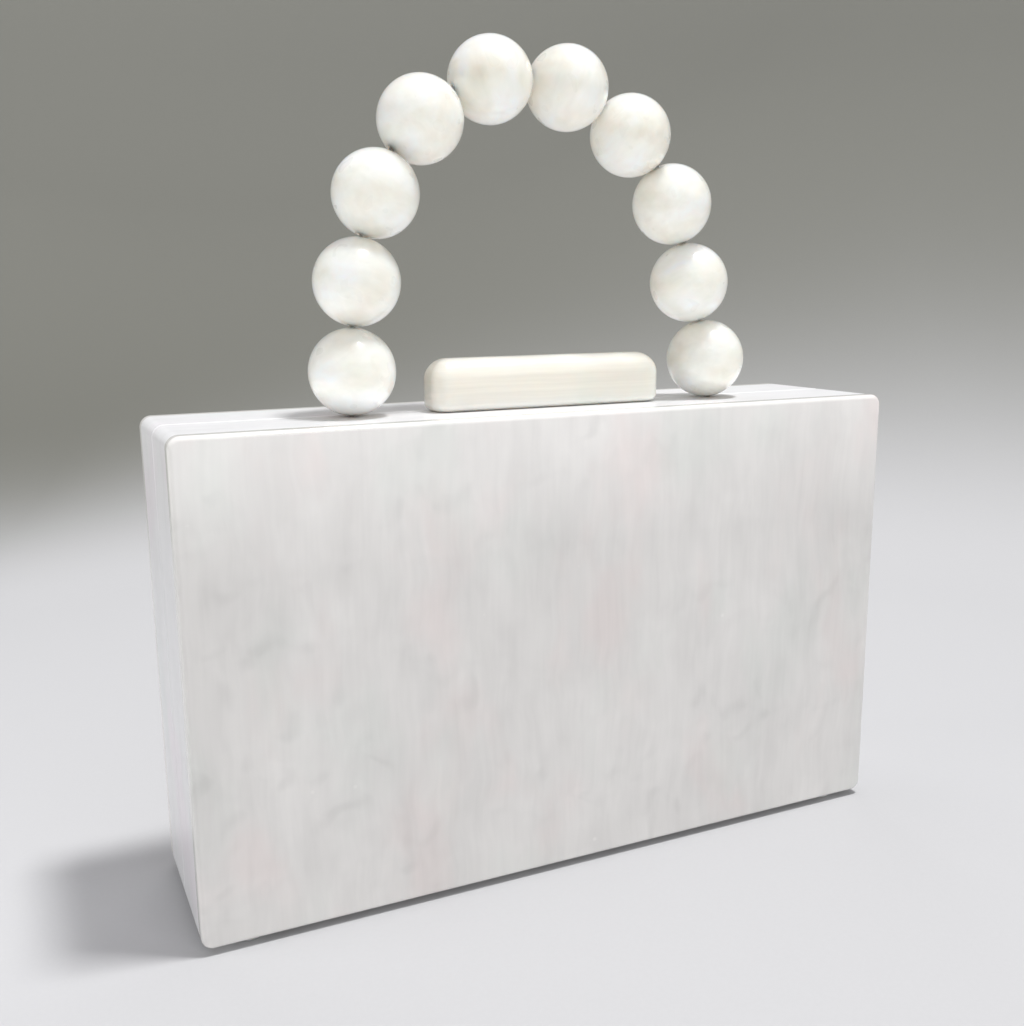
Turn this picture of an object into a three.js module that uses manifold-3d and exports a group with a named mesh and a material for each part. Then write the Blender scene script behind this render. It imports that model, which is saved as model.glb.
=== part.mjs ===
// A hard evening case carried by a bead wrist handle. Two pearl acrylic half shells are hinged along
// the bottom, a rounded bar closes them on top, and drilled beads on a stiff wire make the handle.
// Millimetres. X runs along the width, -Y faces the front and +Z is up. The origin lies on the surface
// that the pads stand on, below the middle of the split between the two halves.

import * as THREE from 'three';
import { mergeVertices } from 'three/addons/utils/BufferGeometryUtils.js';
import Module from 'manifold-3d';

const wasm = await Module();
wasm.setup();

// Case
const CASE_WIDTH = 200;
const CASE_HEIGHT = 122.5;
const HALF_DEPTH = 25;
const SPLIT_GAP = 0.3;
const CORNER_RADIUS = 3;
const WALL_THICKNESS = 4;
const INNER_CORNER_RADIUS = 2;
const RIM_CHAMFER = 0.5;
const JOINT_CHAMFER = 0.15;
const PANEL_THICKNESS = 4;
const PANEL_ROUNDING = 1.25;
const SEAT_GAP = 0.1;

// Hinges
const HINGE_SPACING = 120;
const HINGE_LENGTH = 36;
const KNUCKLE_RADIUS = 1.25;
const KNUCKLE_GAP = 0.4;
const KNUCKLE_CLEARANCE = 0.3;
const LEAF_REACH = 11;
const LEAF_THICKNESS = 0.7;
const PIN_RADIUS = 0.5;
const PIN_CLEARANCE = 0.3;

// Pads, as high as the hinge knuckles need
const FLOOR_CLEARANCE = 0.25;
const PAD_HEIGHT = KNUCKLE_RADIUS + FLOOR_CLEARANCE - SEAT_GAP;
const PAD_RADIUS = 4;
const PAD_ROUNDING = 0.4;
const PAD_SIDE_INSET = 12;
const PAD_FACE_INSET = 6;

// Clasp bar and the catch tongue under it
const BAR_LENGTH = 66.5;
const BAR_DEPTH = 12;
const BAR_HEIGHT = 13.5;
const BAR_OVERHANG = 1.5;
const BAR_SHIFT = 1;
const BAR_CORNER_RADIUS = 4;
const BAR_TOP_ROUNDING = 5.5;
const BAR_FOOT_ROUNDING = 2;
const TONGUE_WIDTH = 24;
const TONGUE_THICKNESS = 1.5;
const TONGUE_SEAT = 14;
const TONGUE_REACH = 5;
const TONGUE_CLEARANCE = 0.4;

// Bead handle
const BEAD_DIAMETER = 21.8;
const BEAD_GAP = 0.1;
const WIRE_DIAMETER = 1.2;
const BORE_CLEARANCE = 1.1;
const HANDLE_FOOT_X = -52;
const HANDLE_INSET = 4.4;
const HANDLE_LEAN = 2.6;
const CRIMP_DIAMETER = 4.4;
const CRIMP_LENGTH = 4;
const CRIMP_CLEARANCE = 0.15;
const WIRE_TAIL = 1.5;

// The run of the bead string, from the left foot on: how steeply each bead climbs to the next, in
// degrees. One more link closes the arch on the top of the case.
const LINK_ANGLES = [84, 74.5, 55.5, 29, -1.5, -30, -53.5, -75.5];

// Facets
const CORNER_STEPS = 5;
const ROUNDING_STEPS = 3;
const BAR_ROUNDING_STEPS = 5;
const BEAD_SIDES = 24;
const BEAD_STEPS = 10;
const KNUCKLE_SIDES = 16;
const PIN_SIDES = 12;
const PAD_SIDES = 24;
const WIRE_SIDES = 8;
const LEAST_RADIUS = 0.4;
const CUT_MARGIN = 1;

const CASE_BOTTOM = PAD_HEIGHT + SEAT_GAP;
const CASE_MIDDLE = CASE_BOTTOM + CASE_HEIGHT / 2;
const CASE_TOP = CASE_BOTTOM + CASE_HEIGHT;
const TOP_WALL_UNDERSIDE = CASE_TOP - WALL_THICKNESS;
const PANEL_BACK = HALF_DEPTH - PANEL_THICKNESS;
const BORE_RADIUS = WIRE_DIAMETER / 2 + BORE_CLEARANCE;
const BEAD_RADIUS = BEAD_DIAMETER / 2;
const LEAF_EDGE = KNUCKLE_RADIUS + KNUCKLE_CLEARANCE;

const FRONT = { name: 'front', sign: -1 };
const REAR = { name: 'rear', sign: 1 };

const pearlSheet = { color: 0xdedcd8, roughness: 0.22, metalness: 0 };
const pearlBar = { color: 0xf0eee4, roughness: 0.18, metalness: 0 };
const pearlBead = { color: 0xebe9e0, roughness: 0.12, metalness: 0 };
const nickelSteel = { color: 0xb9b7b2, roughness: 0.3, metalness: 1 };
const clearPad = { color: 0xd4d6d6, roughness: 0.4, metalness: 0 };

const wristlet = new THREE.Group();

// Adds one named piece with a material of its own.
function addPiece(name, geometry, finish) {
  const mesh = new THREE.Mesh(geometry, new THREE.MeshStandardMaterial(finish));
  mesh.name = name;
  wristlet.add(mesh);
  return mesh;
}

// A closed geometry as a solid that can be cut and joined.
function toSolid(geometry) {
  const bare = geometry.clone();
  bare.deleteAttribute('normal');
  bare.deleteAttribute('uv');
  const merged = mergeVertices(bare);
  const vertProperties = Float32Array.from(merged.attributes.position.array);
  const triVerts = Uint32Array.from(merged.index.array);
  return new wasm.Manifold(new wasm.Mesh({ numProp: 3, vertProperties, triVerts }));
}

// A solid back as a geometry.
function toGeometry(solid) {
  const mesh = solid.getMesh();
  const geometry = new THREE.BufferGeometry();
  geometry.setAttribute('position', new THREE.BufferAttribute(mesh.vertProperties, 3));
  geometry.setIndex(new THREE.BufferAttribute(mesh.triVerts, 1));
  geometry.computeVertexNormals();
  return geometry;
}

// The corner points of a rounded rectangle that is pulled in all round by an inset.
function roundedLoop(outline, inset) {
  const radius = Math.max(outline.radius - inset, LEAST_RADIUS);
  const x = outline.width / 2 - inset - radius;
  const y = outline.height / 2 - inset - radius;
  const centres = [[x, y], [-x, y], [-x, -y], [x, -y]];
  return centres.flatMap(([centreX, centreY], corner) => {
    const points = [];
    for (let step = 0; step <= CORNER_STEPS; step += 1) {
      const angle = (corner + step / CORNER_STEPS) * Math.PI / 2;
      points.push([centreX + radius * Math.cos(angle), centreY + radius * Math.sin(angle)]);
    }
    return points;
  });
}

// A solid with one rounded rectangle for each section, from the lowest level to the highest.
function loftSolid(outline, sections) {
  const loops = sections.map((section) => roundedLoop(outline, section.inset));
  const count = loops[0].length;
  const positions = [];
  loops.forEach((loop, level) => {
    loop.forEach(([x, y]) => positions.push(x, y, sections[level].level));
  });
  const lowCentre = positions.length / 3;
  positions.push(0, 0, sections[0].level);
  positions.push(0, 0, sections[sections.length - 1].level);
  const faces = [];
  for (let point = 0; point < count; point += 1) {
    const next = (point + 1) % count;
    const top = (loops.length - 1) * count;
    faces.push(lowCentre, next, point);
    faces.push(lowCentre + 1, top + point, top + next);
    for (let level = 0; level + 1 < loops.length; level += 1) {
      const low = level * count;
      const high = low + count;
      faces.push(low + point, low + next, high + next);
      faces.push(low + point, high + next, high + point);
    }
  }
  const geometry = new THREE.BufferGeometry();
  geometry.setAttribute('position', new THREE.Float32BufferAttribute(positions, 3));
  geometry.setIndex(faces);
  geometry.computeVertexNormals();
  return geometry;
}

// Sections of a rounded upper edge that ends at the given level.
function roundedEdge(level, radius, steps) {
  const sections = [];
  for (let step = 0; step <= steps; step += 1) {
    const angle = step / steps * Math.PI / 2;
    const inset = radius - radius * Math.cos(angle);
    sections.push({ level: level - radius + radius * Math.sin(angle), inset });
  }
  return sections;
}

// Turns a solid that was lofted upwards from the split to stand in its half of the case.
function standInHalf(geometry, half) {
  geometry.rotateX(-half.sign * Math.PI / 2);
  geometry.translate(0, 0, CASE_MIDDLE);
  return geometry;
}

// A cylinder along X, with its middle at the given place.
function cylinderAlongX(radius, length, sides, place) {
  const geometry = new THREE.CylinderGeometry(radius, radius, length, sides);
  geometry.rotateZ(Math.PI / 2);
  geometry.translate(place.x, place.y, place.z);
  return geometry;
}

// The centres of the two hinges along X.
const hingePlaces = [
  { name: 'left', x: -HINGE_SPACING / 2 },
  { name: 'right', x: HINGE_SPACING / 2 },
];

// Bead centres from the left foot to the right foot, in a plane that leans back a little.
function beadCentres() {
  const pitch = BEAD_DIAMETER + BEAD_GAP;
  const lean = THREE.MathUtils.degToRad(HANDLE_LEAN);
  const slopes = LINK_ANGLES.map((angle) => THREE.MathUtils.degToRad(angle));
  const rise = slopes.reduce((sum, slope) => sum + Math.sin(slope), 0);
  slopes.push(-Math.asin(rise));
  const centres = [new THREE.Vector3(HANDLE_FOOT_X, -HANDLE_INSET, CASE_TOP + SEAT_GAP + BEAD_RADIUS)];
  slopes.forEach((slope) => {
    const climb = pitch * Math.sin(slope);
    const step = new THREE.Vector3(pitch * Math.cos(slope), climb * Math.sin(lean), climb * Math.cos(lean));
    centres.push(centres[centres.length - 1].clone().add(step));
  });
  return centres;
}

// Where the wire turns: at the case under the two end beads, and halfway between two beads. A bead
// leans halfway between its two links, and an end bead halfway between its link and the upright wire.
function wireTurns(centres) {
  const up = new THREE.Vector3(0, 0, 1);
  const links = centres.slice(1).map((centre, index) => centre.clone().sub(centres[index]).normalize());
  const leans = centres.map((centre, index) => {
    const before = index === 0 ? up : links[index - 1];
    const after = index === links.length ? up.clone().negate() : links[index];
    return before.clone().add(after).normalize();
  });
  const entries = centres.map((centre, index) => centre.clone().addScaledVector(leans[index], -BEAD_RADIUS));
  const exits = centres.map((centre, index) => centre.clone().addScaledVector(leans[index], BEAD_RADIUS));
  const between = links.map((link, index) => exits[index].clone().lerp(entries[index + 1], 0.5));
  return [entries[0], ...between, exits[exits.length - 1]];
}

const beadPlaces = beadCentres();
const turns = wireTurns(beadPlaces);
const leftMouth = turns[0];
const rightMouth = turns[turns.length - 1];
const wireMouths = [
  { name: 'left', place: leftMouth },
  { name: 'right', place: rightMouth },
];

// Outer panels: one slab on each half, with its outer edge rounded.
function casePanel(half) {
  const outline = { width: CASE_WIDTH, height: CASE_HEIGHT, radius: CORNER_RADIUS };
  const sections = [
    { level: PANEL_BACK, inset: JOINT_CHAMFER },
    { level: PANEL_BACK + JOINT_CHAMFER, inset: 0 },
    ...roundedEdge(HALF_DEPTH, PANEL_ROUNDING, ROUNDING_STEPS),
  ];
  return standInHalf(loftSolid(outline, sections), half);
}

// The four walls of one half as a ring, chamfered at the split and cut out for the hinges.
function caseFrame(half) {
  const outline = { width: CASE_WIDTH, height: CASE_HEIGHT, radius: CORNER_RADIUS };
  const innerWidth = CASE_WIDTH - 2 * WALL_THICKNESS;
  const innerHeight = CASE_HEIGHT - 2 * WALL_THICKNESS;
  const hollow = { width: innerWidth, height: innerHeight, radius: INNER_CORNER_RADIUS };
  const rim = SPLIT_GAP / 2;
  const back = PANEL_BACK - SEAT_GAP;
  const outside = loftSolid(outline, [
    { level: rim, inset: RIM_CHAMFER },
    { level: rim + RIM_CHAMFER, inset: 0 },
    { level: back - JOINT_CHAMFER, inset: 0 },
    { level: back, inset: JOINT_CHAMFER },
  ]);
  const inside = loftSolid(hollow, [
    { level: rim - CUT_MARGIN, inset: 0 },
    { level: back + CUT_MARGIN, inset: 0 },
  ]);
  let solid = toSolid(standInHalf(outside, half)).subtract(toSolid(standInHalf(inside, half)));
  hingePlaces.forEach((hinge) => {
    const length = HINGE_LENGTH + 2 * KNUCKLE_CLEARANCE;
    const place = new THREE.Vector3(hinge.x, 0, CASE_BOTTOM);
    solid = solid.subtract(toSolid(cylinderAlongX(LEAF_EDGE, length, KNUCKLE_SIDES, place)));
  });
  if (half === FRONT) {
    wireMouths.forEach((mouth) => {
      const depth = WALL_THICKNESS + 2 * CUT_MARGIN;
      const hole = new THREE.CylinderGeometry(BORE_RADIUS, BORE_RADIUS, depth, PIN_SIDES);
      hole.rotateX(Math.PI / 2);
      hole.translate(mouth.place.x, mouth.place.y, CASE_TOP - WALL_THICKNESS / 2);
      solid = solid.subtract(toSolid(hole));
    });
  }
  return toGeometry(solid);
}

// Small round pads that the case stands on.
function pad() {
  const halfHeight = PAD_HEIGHT / 2;
  const profile = [
    new THREE.Vector2(0, -halfHeight),
    new THREE.Vector2(PAD_RADIUS - PAD_ROUNDING, -halfHeight),
    new THREE.Vector2(PAD_RADIUS, -halfHeight + PAD_ROUNDING),
    new THREE.Vector2(PAD_RADIUS, halfHeight),
    new THREE.Vector2(0, halfHeight),
  ];
  const geometry = new THREE.LatheGeometry(profile, PAD_SIDES);
  geometry.rotateX(Math.PI / 2);
  return geometry;
}

function addPads(half) {
  [['left', -1], ['right', 1]].forEach(([name, sign]) => {
    const mesh = addPiece(`${half.name}_pad_${name}`, pad(), clearPad);
    const x = sign * (CASE_WIDTH / 2 - PAD_SIDE_INSET);
    mesh.position.set(x, half.sign * (HALF_DEPTH - PAD_FACE_INSET), PAD_HEIGHT / 2);
  });
}

// One leaf of a hinge: a thin plate under the case with its own knuckles around the pin.
function hingeLeaf(hinge, half, knuckles) {
  const pitch = (HINGE_LENGTH + KNUCKLE_GAP) / 3;
  const knuckleLength = pitch - KNUCKLE_GAP;
  const plateMiddle = CASE_BOTTOM - SEAT_GAP - LEAF_THICKNESS / 2;
  const plateDepth = LEAF_REACH - LEAF_EDGE;
  const plate = new THREE.BoxGeometry(HINGE_LENGTH, plateDepth, LEAF_THICKNESS);
  plate.translate(hinge.x, half.sign * (LEAF_EDGE + plateDepth / 2), plateMiddle);
  let solid = toSolid(plate);
  knuckles.forEach((knuckle) => {
    const x = hinge.x + knuckle * pitch;
    const strap = new THREE.BoxGeometry(knuckleLength, LEAF_REACH, LEAF_THICKNESS);
    strap.translate(x, half.sign * LEAF_REACH / 2, plateMiddle);
    const place = new THREE.Vector3(x, 0, CASE_BOTTOM);
    solid = solid.add(toSolid(strap));
    solid = solid.add(toSolid(cylinderAlongX(KNUCKLE_RADIUS, knuckleLength, KNUCKLE_SIDES, place)));
  });
  const middle = new THREE.Vector3(hinge.x, 0, CASE_BOTTOM);
  const boreLength = HINGE_LENGTH + 2 * CUT_MARGIN;
  const bore = cylinderAlongX(PIN_RADIUS + PIN_CLEARANCE, boreLength, PIN_SIDES, middle);
  return toGeometry(solid.subtract(toSolid(bore)));
}

function addHinge(hinge) {
  addPiece(`hinge_${hinge.name}_front_leaf`, hingeLeaf(hinge, FRONT, [-1, 1]), nickelSteel);
  addPiece(`hinge_${hinge.name}_rear_leaf`, hingeLeaf(hinge, REAR, [0]), nickelSteel);
  const place = new THREE.Vector3(hinge.x, 0, CASE_BOTTOM);
  const pin = cylinderAlongX(PIN_RADIUS, HINGE_LENGTH, PIN_SIDES, place);
  addPiece(`hinge_${hinge.name}_pin`, pin, nickelSteel);
}

// The clasp bar: a block with softly rounded top edges, seated on the front half and reaching over
// the split.
function claspBar() {
  const outline = { width: BAR_LENGTH, height: BAR_DEPTH, radius: BAR_CORNER_RADIUS };
  const foot = roundedEdge(0, BAR_FOOT_ROUNDING, ROUNDING_STEPS).reverse();
  const sections = [
    ...foot.map((section) => ({ level: -section.level, inset: section.inset })),
    ...roundedEdge(BAR_HEIGHT, BAR_TOP_ROUNDING, BAR_ROUNDING_STEPS),
  ];
  return loftSolid(outline, sections);
}

// The catch tongue: a strip under the top wall of the front half that slips under the rear half's wall.
function catchTongue() {
  const seat = TOP_WALL_UNDERSIDE - SEAT_GAP;
  const reach = TOP_WALL_UNDERSIDE - TONGUE_CLEARANCE;
  const step = -SPLIT_GAP / 2;
  const profile = new THREE.Shape([
    new THREE.Vector2(-TONGUE_SEAT, seat),
    new THREE.Vector2(-TONGUE_SEAT, reach - TONGUE_THICKNESS),
    new THREE.Vector2(TONGUE_REACH, reach - TONGUE_THICKNESS),
    new THREE.Vector2(TONGUE_REACH, reach),
    new THREE.Vector2(step, reach),
    new THREE.Vector2(step, seat),
  ]);
  const geometry = new THREE.ExtrudeGeometry(profile, { depth: TONGUE_WIDTH, bevelEnabled: false });
  geometry.translate(0, 0, -TONGUE_WIDTH / 2);
  geometry.rotateZ(Math.PI / 2);
  geometry.rotateY(Math.PI / 2);
  return geometry;
}

// One bead, turned about its bore.
function bead() {
  const mouthAngle = Math.asin(BORE_RADIUS / BEAD_RADIUS);
  const profile = [];
  for (let step = 0; step <= BEAD_STEPS; step += 1) {
    const angle = mouthAngle + step / BEAD_STEPS * (Math.PI - 2 * mouthAngle);
    profile.push(new THREE.Vector2(BEAD_RADIUS * Math.sin(angle), -BEAD_RADIUS * Math.cos(angle)));
  }
  profile.push(profile[0].clone());
  return new THREE.LatheGeometry(profile, BEAD_SIDES);
}

function addBeads() {
  const axis = new THREE.Vector3(0, 1, 0);
  beadPlaces.forEach((centre, index) => {
    const number = String(index + 1).padStart(2, '0');
    const bore = turns[index + 1].clone().sub(turns[index]).normalize();
    const mesh = addPiece(`bead_${number}`, bead(), pearlBead);
    mesh.position.copy(centre);
    mesh.quaternion.setFromUnitVectors(axis, bore);
  });
}

// A run of straight stretches that turns at its own points and nowhere else.
class StraightRuns extends THREE.Curve {
  constructor(points) {
    super();
    this.points = points;
  }

  getPoint(t) {
    const place = t * (this.points.length - 1);
    const index = Math.min(Math.floor(place), this.points.length - 2);
    return this.points[index].clone().lerp(this.points[index + 1], place - index);
  }

  getPointAt(t) {
    return this.getPoint(t);
  }

  getTangentAt(t) {
    const place = Math.round(t * (this.points.length - 1));
    const before = this.points[Math.max(place - 1, 0)];
    const here = this.points[place];
    const after = this.points[Math.min(place + 1, this.points.length - 1)];
    const arriving = here.clone().sub(before).normalize();
    const leaving = after.clone().sub(here).normalize();
    return arriving.add(leaving).normalize();
  }
}

// The wire: up through the top wall, straight through every bead, and down again.
function beadWire() {
  const tail = TOP_WALL_UNDERSIDE - SEAT_GAP - CRIMP_LENGTH - WIRE_TAIL;
  const points = [
    new THREE.Vector3(leftMouth.x, leftMouth.y, tail),
    ...turns,
    new THREE.Vector3(rightMouth.x, rightMouth.y, tail),
  ];
  const section = new THREE.Shape();
  section.absarc(0, 0, WIRE_DIAMETER / 2, 0, 2 * Math.PI);
  return new THREE.ExtrudeGeometry(section, {
    steps: points.length - 1,
    curveSegments: WIRE_SIDES / 2,
    extrudePath: new StraightRuns(points),
    bevelEnabled: false,
  });
}

// Crimps that keep the wire's ends under the top wall.
function crimp() {
  const inner = WIRE_DIAMETER / 2 + CRIMP_CLEARANCE;
  const outer = CRIMP_DIAMETER / 2;
  const half = CRIMP_LENGTH / 2;
  const profile = [
    new THREE.Vector2(inner, -half),
    new THREE.Vector2(outer, -half),
    new THREE.Vector2(outer, half),
    new THREE.Vector2(inner, half),
    new THREE.Vector2(inner, -half),
  ];
  const geometry = new THREE.LatheGeometry(profile, PIN_SIDES);
  geometry.rotateX(Math.PI / 2);
  return geometry;
}

[FRONT, REAR].forEach((half) => {
  addPiece(`${half.name}_panel`, casePanel(half), pearlSheet);
  addPiece(`${half.name}_frame`, caseFrame(half), pearlSheet);
  addPads(half);
});
hingePlaces.forEach(addHinge);
const bar = addPiece('clasp_bar', claspBar(), pearlBar);
bar.position.set(BAR_SHIFT, BAR_OVERHANG - BAR_DEPTH / 2, CASE_TOP + SEAT_GAP);
addPiece('catch_tongue', catchTongue(), nickelSteel);
addBeads();
addPiece('bead_wire', beadWire(), nickelSteel);
wireMouths.forEach((mouth) => {
  const mesh = addPiece(`wire_crimp_${mouth.name}`, crimp(), nickelSteel);
  mesh.position.set(mouth.place.x, mouth.place.y, TOP_WALL_UNDERSIDE - SEAT_GAP - CRIMP_LENGTH / 2);
});

export default wristlet;
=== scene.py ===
"""Looks of a hard box clutch in pearl acrylic with an arched handle of pearl beads.

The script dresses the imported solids, in metres and in their own frame: the two halves of the case,
the clasp bar, the string of beads with its wire, and the hinges, catch and feet. It ends with a plain
studio and a camera that looks from the front left.
"""

import logging
import math
from collections.abc import Iterable, Sequence
from dataclasses import dataclass, field
from enum import Enum
from typing import Any

import bmesh
import bpy
from mathutils import Matrix, Vector


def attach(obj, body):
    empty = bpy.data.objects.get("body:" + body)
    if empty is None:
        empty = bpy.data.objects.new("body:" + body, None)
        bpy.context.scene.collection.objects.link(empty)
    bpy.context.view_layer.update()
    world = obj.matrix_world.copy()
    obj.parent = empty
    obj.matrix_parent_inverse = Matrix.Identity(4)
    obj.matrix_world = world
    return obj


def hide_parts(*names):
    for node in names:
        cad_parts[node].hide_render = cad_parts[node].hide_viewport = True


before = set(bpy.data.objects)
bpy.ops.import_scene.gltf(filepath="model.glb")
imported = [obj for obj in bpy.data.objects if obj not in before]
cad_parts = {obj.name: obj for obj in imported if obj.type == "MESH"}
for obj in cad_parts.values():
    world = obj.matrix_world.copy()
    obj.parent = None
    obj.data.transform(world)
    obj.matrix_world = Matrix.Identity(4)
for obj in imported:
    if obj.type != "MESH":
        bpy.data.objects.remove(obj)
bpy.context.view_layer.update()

MM = 0.001

Piece = bpy.types.Object
Finish = bpy.types.Material
Tree = bpy.types.NodeTree
Source = bpy.types.Node | bpy.types.NodeSocket

log = logging.getLogger("clutch")


class Half(Enum):
    """The two halves of the case, named as their bodies are."""

    FRONT = "front_half"
    REAR = "rear_half"

    @property
    def side(self) -> int:
        """The sign of Y on this half's side of the split."""
        return -1 if self is Half.FRONT else 1

    @property
    def prefix(self) -> str:
        """How the names of this half's nodes begin."""
        return self.value.split("_")[0]


class Slot(Enum):
    """The record's material slots."""

    PANELS = "pearl_panels"
    FRAMES = "pearl_frames"
    BAR = "pearl_bar"
    BEADS = "pearl_beads"
    NICKEL = "hinge_nickel"
    STEEL = "wire_steel"
    PADS = "clear_pads"


def linear(hex_colour: str) -> tuple[float, float, float, float]:
    """Turns an sRGB hex colour to the linear values that shaders take.

    Args:
        hex_colour: Six hex digits, such as "D8D6D2".

    Returns:
        Red, green, blue and an alpha of one.
    """
    parts = [int(hex_colour[start:start + 2], 16) / 255 for start in (0, 2, 4)]
    red, green, blue = [c / 12.92 if c <= 0.04045 else ((c + 0.055) / 1.055) ** 2.4 for c in parts]
    return red, green, blue, 1.0


def add(tree: Tree, kind: str, inputs: dict[Any, Any] | None = None, **settings: Any) -> bpy.types.Node:
    """Adds a node with its settings, values and links.

    Args:
        tree: The node tree that takes the node.
        kind: The node's type name.
        inputs: Values, output sockets, or nodes for their first output, by the input's name or place.
        **settings: Properties of the node itself.

    Returns:
        The new node.
    """
    node = tree.nodes.new(kind)
    for name, value in settings.items():
        setattr(node, name, value)
    for name, value in (inputs or {}).items():
        if isinstance(value, bpy.types.Node):
            value = value.outputs[0]
        if isinstance(value, bpy.types.NodeSocket):
            tree.links.new(value, node.inputs[name])
        else:
            node.inputs[name].default_value = value
    return node


# Outlines and meshes

# Points of a solid closer than this, in metres, are one point.
WELD = 1e-6
# Facets that turn less than this lie in one face; edges that turn more than the other get softened.
FLAT_ANGLE = math.radians(0.5)
EDGE_ANGLE = math.radians(40)


def rounded_loop(width: float, height: float, radius: float, steps: int = 10) -> list[tuple[float, float]]:
    """Gives the points of a rounded rectangle round the origin.

    Args:
        width: Full width in millimetres.
        height: Full height in millimetres.
        radius: Corner radius in millimetres.
        steps: Stretches in each corner's arc.

    Returns:
        Points in order, the same number for any size.
    """
    x, y = width / 2 - radius, height / 2 - radius
    points = []
    for corner, (centre_x, centre_y) in enumerate(((x, y), (-x, y), (-x, -y), (x, -y))):
        for step in range(steps + 1):
            angle = (corner + step / steps) * math.pi / 2
            points.append((centre_x + radius * math.cos(angle), centre_y + radius * math.sin(angle)))
    return points


def circle(radius: float, height: float, sides: int) -> list[Vector]:
    """Gives the points of a level circle round the Z axis.

    Args:
        radius: Its radius in millimetres.
        height: Its height in millimetres.
        sides: How many points.

    Returns:
        Points in metres.
    """
    angles = [2 * math.pi * side / sides for side in range(sides)]
    return [Vector((radius * math.cos(angle), radius * math.sin(angle), height)) * MM for angle in angles]


def quarter(radius: float, steps: int) -> list[tuple[float, float]]:
    """Gives a quarter-round edge as inset and distance short of the face, from the side to the face.

    Args:
        radius: Radius of the edge in millimetres.
        steps: Stretches in the arc.

    Returns:
        Pairs of inset and the depth that is left to the face.
    """
    angles = [step / steps * math.pi / 2 for step in range(steps + 1)]
    return [(radius - radius * math.cos(angle), radius - radius * math.sin(angle)) for angle in angles]


def loft(name: str, rings: Sequence[Sequence[Vector]], closed: bool = False) -> Piece:
    """Joins rings of points to one closed skin with its faces outwards.

    Args:
        name: Name of the object and its mesh.
        rings: Loops with the same number of points, in metres.
        closed: True to join the last ring to the first, False to cap both ends.

    Returns:
        The object, linked to the scene.
    """
    shape = bmesh.new()
    rows = [[shape.verts.new(point) for point in ring] for ring in rings]
    pairs = list(zip(rows, rows[1:] + rows[:1] if closed else rows[1:]))
    for low, high in pairs:
        for index in range(len(low)):
            following = (index + 1) % len(low)
            shape.faces.new((low[index], low[following], high[following], high[index]))
    if not closed:
        shape.faces.new(rows[0])
        shape.faces.new(rows[-1])
    bmesh.ops.recalc_face_normals(shape, faces=shape.faces)
    return to_object(name, shape)


def to_object(name: str, shape: bmesh.types.BMesh) -> Piece:
    """Puts a built shape in the scene and frees it.

    Args:
        name: Name of the object and its mesh.
        shape: The shape, in metres.

    Returns:
        The new object at the origin.
    """
    mesh = bpy.data.meshes.new(name)
    shape.to_mesh(mesh)
    shape.free()
    piece = bpy.data.objects.new(name, mesh)
    bpy.context.scene.collection.objects.link(piece)
    return piece


def drop(piece: Piece) -> None:
    """Takes a helper object out of the file."""
    bpy.data.objects.remove(piece, do_unlink=True)


def bake(piece: Piece) -> None:
    """Replaces an object's mesh by what its modifiers make of it, and clears them.

    Args:
        piece: The object.
    """
    graph = bpy.context.evaluated_depsgraph_get()
    mesh = bpy.data.meshes.new_from_object(piece.evaluated_get(graph))
    mesh.name = piece.name
    piece.modifiers.clear()
    piece.data = mesh


def settle(piece: Piece, crease: float = 35.0, even: bool = True) -> Piece:
    """Turns an object with modifiers to one plain mesh with clean shading.

    Args:
        piece: The object; its modifiers are used up.
        crease: Edges sharper than this many degrees stay crisp.
        even: True to let large flat faces decide the shading next to a rounding.

    Returns:
        The same object with its final mesh.
    """
    bake(piece)
    piece.data.shade_smooth()
    piece.data.set_sharp_from_angle(angle=math.radians(crease))
    if even:
        weighting = piece.modifiers.new("even_shading", "WEIGHTED_NORMAL")
        weighting.keep_sharp = True
        weighting.weight = 100
        bake(piece)
    return piece


def carve(piece: Piece, cutters: Iterable[Piece]) -> None:
    """Cuts other solids out of a piece and drops them.

    Args:
        piece: The solid that is cut.
        cutters: Closed solids.
    """
    for cutter in cutters:
        cut = piece.modifiers.new("cut", "BOOLEAN")
        cut.operation = "DIFFERENCE"
        cut.solver = "EXACT"
        cut.object = cutter
        bake(piece)
        drop(cutter)


def turned(name: str, profile: Sequence[tuple[float, float]], sides: int, place: Matrix) -> Piece:
    """Turns a profile round its own axis.

    Args:
        name: Name of the object.
        profile: Radius and height pairs in millimetres, from one end of the axis to the other.
        sides: Sides of the turned shape.
        place: Where the shape goes, in metres.

    Returns:
        A closed solid.
    """
    rings = [[place @ point for point in circle(radius, height, sides)] for radius, height in profile]
    return loft(name, rings)


def merged_copy(name: str, nodes: Iterable[str], bevel: float) -> Piece:
    """Copies CAD nodes into one welded mesh with softened edges.

    Args:
        name: Name of the new object.
        nodes: Names of the CAD nodes.
        bevel: Width of the softened edge in millimetres.

    Returns:
        The new object; the CAD nodes stay as they are.
    """
    shape = bmesh.new()
    for node in nodes:
        shape.from_mesh(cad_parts[node].data)
    bmesh.ops.remove_doubles(shape, verts=shape.verts, dist=WELD)
    shared = [edge for edge in shape.edges if len(edge.link_faces) == 2]
    flat = [edge for edge in shared if edge.calc_face_angle() < FLAT_ANGLE]
    bmesh.ops.dissolve_edges(shape, edges=flat, use_verts=False)
    piece = to_object(name, shape)
    soften = piece.modifiers.new("soften", "BEVEL")
    soften.width = bevel * MM
    soften.segments = 2
    soften.limit_method = "ANGLE"
    soften.angle_limit = EDGE_ANGLE
    return settle(piece)


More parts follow.
